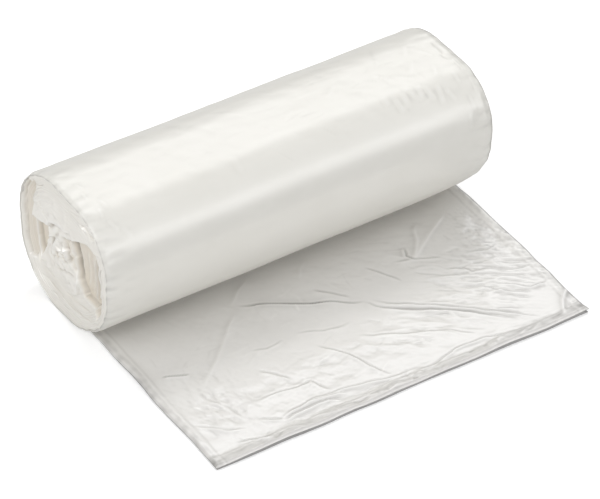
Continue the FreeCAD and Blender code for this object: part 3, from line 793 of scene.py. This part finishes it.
def bagRelief(x, y, left, right, front):  # the height of the bag's upper side, and its painted shade and highlight
    wornX = x + bag["warp"] * noise(x / bag["warpSize"], y / bag["warpSize"], 81)
    wornY = y + bag["warp"] * noise(x / bag["warpSize"], y / bag["warpSize"], 82)
    relief = softFolds(x, y)
    shade = np.zeros(x.shape)
    for path, height, width, backWidth, groove in bagCreases:
        relief = relief + ridge(wornX, wornY, path, height, width, backWidth, groove)
        # Painted shade in each crease's groove
        fold = ridge(wornX, wornY, path, 0.0, width, backWidth, groove * groove, grooveWidth=1.6)
        shade = shade - bag["foldShade"] * fold
    rng = np.random.default_rng(86)
    for (middleX, middleY), (spreadX, spreadY), count, heading, turn, lengths, heights in bagWrinkles:
        for _ in range(count):
            startX = middleX + spreadX * np.clip(rng.normal(), -2, 2) * 0.7
            startY = middleY + spreadY * np.clip(rng.normal(), -2, 2) * 0.7
            angle = math.radians(heading + turn * rng.normal())
            length = rng.uniform(*lengths)
            run = (0.5 * length * math.cos(angle), 0.5 * length * math.sin(angle))
            bend = 0.07 * length * rng.normal()
            path = [(startX - run[0], startY - run[1]),
                    (startX - bend * math.sin(angle), startY + bend * math.cos(angle)),
                    (startX + run[0], startY + run[1])]
            sharp = rng.uniform(0.6, 1.5)
            height = rng.uniform(*heights) * rng.choice([1.0, -0.8])
            blunt = sharp * rng.uniform(1.0, 2.2)
            relief = relief + ridge(wornX, wornY, path, height, sharp, blunt, fade=0.35)
    pressed = smooth(y, -22, -34)  # flat under the roll
    relief = np.maximum(relief + 0.55, 0.0) * mix(0.15, 1.0, pressed)  # nowhere below the table
    sideEdge = bag["sideBand"] + 0.4 * noise(y / 30, 0.5, 87)
    for inside in (x - left, right - x):
        relief = relief + bag["sideRise"] * (1 - smooth(inside, sideEdge - 0.5, sideEdge + 0.5))
    hemEdge = bag["hemBand"] + 1.2 * noise(x / 26, 0.5, 88)
    hem = 1 - smooth(y - front, hemEdge - 0.6, hemEdge + 0.6)
    relief = relief + bag["hemRise"] * hem
    # Painted shade in hollows and painted highlight on crests, then mottled painted shade along the hem,
    # down the sides and on the edge line
    shade = shade + bag["hollowShade"] * np.clip(hollowness(relief, 2, 2), bag["highlightLimit"], bag["shadeLimit"])
    shadeMottling = 1 + 0.6 * noise(x / 9, y / 3, 89)
    shade = shade + bag["hemShade"] * hem * shadeMottling * smooth(y - front, 0.6, 1.6)
    toSide = np.minimum(x - left, right - x)
    shadeMottling = 1 + 1.4 * noise(x / 4, y / 6, 90)
    shade = shade + bag["sideShade"] * shadeMottling * (1 - smooth(toSide, 3.0, 5.6))
    shade = shade + bag["edgeShade"] * (1 - smooth(toSide, 0.6, 1.6))
    for path, depth, width in creaseShadeStreaks:
        shade = shade + ridge(wornX, wornY, path, depth, width)
    return relief, shade


def bagEdges(x, y):  # where the sheet's left, right and front edges run at each point
    front = bagFront - bag["frontReach"] - bag["frontSkew"] * (x - leftRim)
    front = front + bag["frontWander"] * noise(x / 22, 0.5, 91)
    left = leftRim + bag["leftInset"] + bag["leftWander"] * noise(y / 24, 0.5, 92)
    right = bag["rightEdge"] + bag["rightWander"] * noise(y / 18, 0.5, 93)
    return left, right, front


def bagLift(x, y, left, right, front):  # how high the sheet's underside stands off the table
    reach = bag["liftReach"]
    lift = (1 - smooth(y - front, 0.0, reach)) * (0.75 + 0.35 * noise(x / 34, 0.5, 94))
    lift = np.maximum(lift, (1 - smooth(x - left, 0.0, reach)) * (0.45 + 0.3 * noise(y / 30, 0.5, 95)))
    lift = np.maximum(lift, (1 - smooth(right - x, 0.0, reach)) * (0.6 + 0.3 * noise(y / 30, 0.5, 96)))
    return bag["edgeLift"] * lift * smooth(y, -16, -36)


def makeBag():
    across, deep = bag["across"], bag["deep"]
    shareX = np.linspace(0.0, 1.0, across)[None, :] + np.zeros((deep, 1))
    shareY = np.linspace(0.0, 1.0, deep)[:, None] + np.zeros((1, across))
    roughX = mix(leftRim + bag["leftInset"], bag["rightEdge"], shareX)
    y = mix(bagEdges(roughX, roughX)[2], bag["underRoll"], shareY)
    left, right, _ = bagEdges(roughX, y)
    x = mix(left, right, shareX)
    left, right, front = bagEdges(x, y)
    relief, shade = bagRelief(x, y, left, right, front)
    lift = bagLift(x, y, left, right, front)
    edge = np.minimum(np.minimum(x - left, right - x), y - front)
    inner = smooth(edge, 0.0, bag["edgeBand"])
    film, ground = bag["edgeFilm"], bag["ground"]
    top = ground + lift + film + (bag["stack"] - film) * inner + relief * (0.35 + 0.65 * inner)
    points = [np.stack([x, y, top], axis=2).reshape(-1, 3)]
    faces = gridFaces(deep, across)
    border = list(range(across)) + [row * across + across - 1 for row in range(1, deep)]
    border += [(deep - 1) * across + column for column in range(across - 2, -1, -1)]
    border += [row * across for row in range(deep - 2, 0, -1)]
    rim = points[0][border]
    count = len(border)
    middle = np.array([[0.5 * (leftRim + bag["rightEdge"]), 0.5 * (bagFront + bag["underRoll"])]])
    half = np.array([bag["halfSize"]])
    lower = ground + bag["lowerFilm"]
    slit = np.maximum(rim[:, 2] - film, lower + 0.04)
    under = [  # inset and height of the rings below the rim: slit, lower film, underside
        (0.0, slit), (bag["slitDepth"], slit - 0.01), (bag["slitDepth"], lower + 0.01),
        (bag["lowerInset"], lower), (bag["lowerInset"], ground), (bag["footInset"], ground),
    ]
    slitRings = (1, 2, 3, 4)
    ring = np.array(border)
    inSlit = []
    for place, (inset, height) in enumerate(under):
        flat = middle + (rim[:, :2] - middle) * (1 - inset / half)
        following = across * deep + place * count + np.arange(count)
        points.append(np.column_stack([flat, height + np.zeros(count)]))
        for this in range(count):
            after = (this + 1) % count
            inSlit += [len(faces)] if place in slitRings else []
            faces.append([int(ring[this]), int(following[this]), int(following[after]), int(ring[after])])
        ring = following
    faces.append([int(place) for place in ring[::-1]])
    shade = np.concatenate([shade.reshape(-1), np.zeros(len(under) * count)])
    piece = meshPiece("pulled_out_bag", np.concatenate(points), faces, bagPaint, shade)
    # The slit's faces take the painted shadow
    piece.data.materials.append(slitShadowPaint)
    for face in inSlit:
        piece.data.polygons[face].material_index = 1


makeBag()


# Table, lights and camera

studio = {
    "tableHalf": 4.0,  # metres
    "table": (0.92, 0.92, 0.92, 1.0),
    "tableInGloss": (0.54, 0.54, 0.54, 1.0),  # how the film mirrors it
    "tableGlow": 0.30,  # brings its lit parts to white for the camera
    "ambient": 0.61,  # the sky's soft light on matt surfaces
    "sky": [  # what glossy film sees, by its height
        (0.0, 0.36), (0.14, 0.46), (0.36, 0.90), (0.55, 1.0), (0.85, 0.64), (1.0, 0.50)],
    "lamps": [  # name, place in metres, width, depth, power in watts
        ("key", (0.42, 0.62, 1.28), 0.46, 0.40, 7.0),
        ("front_strip", (0.60, -1.30, 0.60), 1.3, 0.55, 2.3),
        ("left_fill", (-1.2, -0.1, 1.0), 1.0, 1.0, 7.0),
    ],
    "window": (0.40, 0.60, 0.69),  # where glossy film sees a large soft window, as a direction
    "windowEdge": [(0.90, 0.0), (0.95, 0.3), (0.985, 1.0)],
    "windowGlow": 1.65,
    "behind": 0.5,  # how much dimmer the sky is behind the roll
}


def makeTable():
    mesh = bpy.data.meshes.new("table")
    half = studio["tableHalf"]
    corners = [(-half, -half, 0), (half, -half, 0), (half, half, 0), (-half, half, 0)]
    mesh.from_pydata(corners, [], [(0, 1, 2, 3)])
    paint = Shader(bpy.data.materials.new("white table"))
    camera = paint.node("ShaderNodeLightPath", output="Is Camera Ray")
    glossy = paint.node("ShaderNodeLightPath", output="Is Glossy Ray")
    glow = paint.mixColours(camera * studio["tableGlow"], (0.0, 0.0, 0.0, 1.0), (1.0, 1.0, 1.0, 1.0))
    colour = paint.mixColours(glossy, studio["table"], studio["tableInGloss"])
    shader = paint.node("ShaderNodeBsdfPrincipled", sockets={
        "Base Color": colour, "Roughness": 0.8, "Specular IOR Level": 0.1,
        "Emission Color": glow, "Emission Strength": 1.0})
    paint.node("ShaderNodeOutputMaterial", sockets={"Surface": shader})
    mesh.materials.append(paint.owner)
    table = bpy.data.objects.new("table", mesh)
    bpy.context.scene.collection.objects.link(table)


def makeLights():
    world = bpy.data.worlds.new("studio")
    bpy.context.scene.world = world
    sky = Shader(world)
    camera = sky.node("ShaderNodeLightPath", output="Is Camera Ray")
    glossy = sky.node("ShaderNodeLightPath", output="Is Glossy Ray")
    through = sky.node("ShaderNodeLightPath", output="Is Transmission Ray")
    mirrored = glossy.maths("MAXIMUM", glossy, through)
    direction = sky.node("ShaderNodeTexCoord", output="Generated")
    height = sky.node("ShaderNodeSeparateXYZ", sockets={"Vector": direction}, output="Z")
    graded = sky.node("ShaderNodeValToRGB", {"stops": studio["sky"]}, {"Fac": height})
    white = (1.0, 1.0, 1.0, 1.0)
    facing = sky.node("ShaderNodeVectorMath", {"operation": "DOT_PRODUCT"},
                      {0: direction, 1: studio["window"]}, 1)
    window = sky.node("ShaderNodeValToRGB", {"stops": studio["windowEdge"]}, {"Fac": facing})
    depth = sky.node("ShaderNodeSeparateXYZ", sockets={"Vector": direction}, output="Y")
    dimmed = 1.0 - depth.maths("MAXIMUM", depth, 0.0) * studio["behind"]
    background = sky.node("ShaderNodeBackground", sockets={
        "Color": sky.mixColours(mirrored, white, graded),
        "Strength": camera + mirrored * (window * studio["windowGlow"] + 1.0) * dimmed
        + (1.0 - camera - mirrored) * dimmed * studio["ambient"]})
    sky.node("ShaderNodeOutputWorld", sockets={"Surface": background})
    for name, place, width, depth, power in studio["lamps"]:
        lamp = bpy.data.lights.new(name, "AREA")
        lamp.shape = "RECTANGLE"
        lamp.size, lamp.size_y = width, depth
        lamp.energy = power
        holder = bpy.data.objects.new(name, lamp)
        holder.location = place
        holder.rotation_euler = (-Vector(place)).to_track_quat("-Z", "Y").to_euler()
        holder.visible_glossy = name != "key"  # the window stands for it in the gloss
        bpy.context.scene.collection.objects.link(holder)


view = {
    "azimuth": -31.64,
    "elevation": 39.65,
    "distance": 2316.4,
    "lens": 235.0,
    "aimRight": 22.36,  # the point in the middle of the picture, seen from the camera
    "aimUp": -6.09,
}


def makeCamera():
    azimuth, elevation = math.radians(view["azimuth"]), math.radians(view["elevation"])
    level = math.cos(elevation)
    back = Vector((math.sin(azimuth) * level, -math.cos(azimuth) * level, math.sin(elevation)))
    right = Vector((math.cos(azimuth), math.sin(azimuth), 0.0))
    up = back.cross(right)
    eye = back * view["distance"] * mm
    aim = (right * view["aimRight"] + up * view["aimUp"]) * mm
    lens = bpy.data.cameras.new("camera")
    lens.lens = view["lens"]
    lens.sensor_width = 36.0
    lens.clip_start, lens.clip_end = 0.1, 20.0
    camera = bpy.data.objects.new("camera", lens)
    camera.location = eye
    camera.rotation_euler = (aim - eye).to_track_quat("-Z", "Y").to_euler()
    bpy.context.scene.collection.objects.link(camera)
    bpy.context.scene.camera = camera
    bpy.context.scene.view_settings.view_transform = "Standard"


makeTable()
makeLights()
makeCamera()
print("table, lights and camera made")
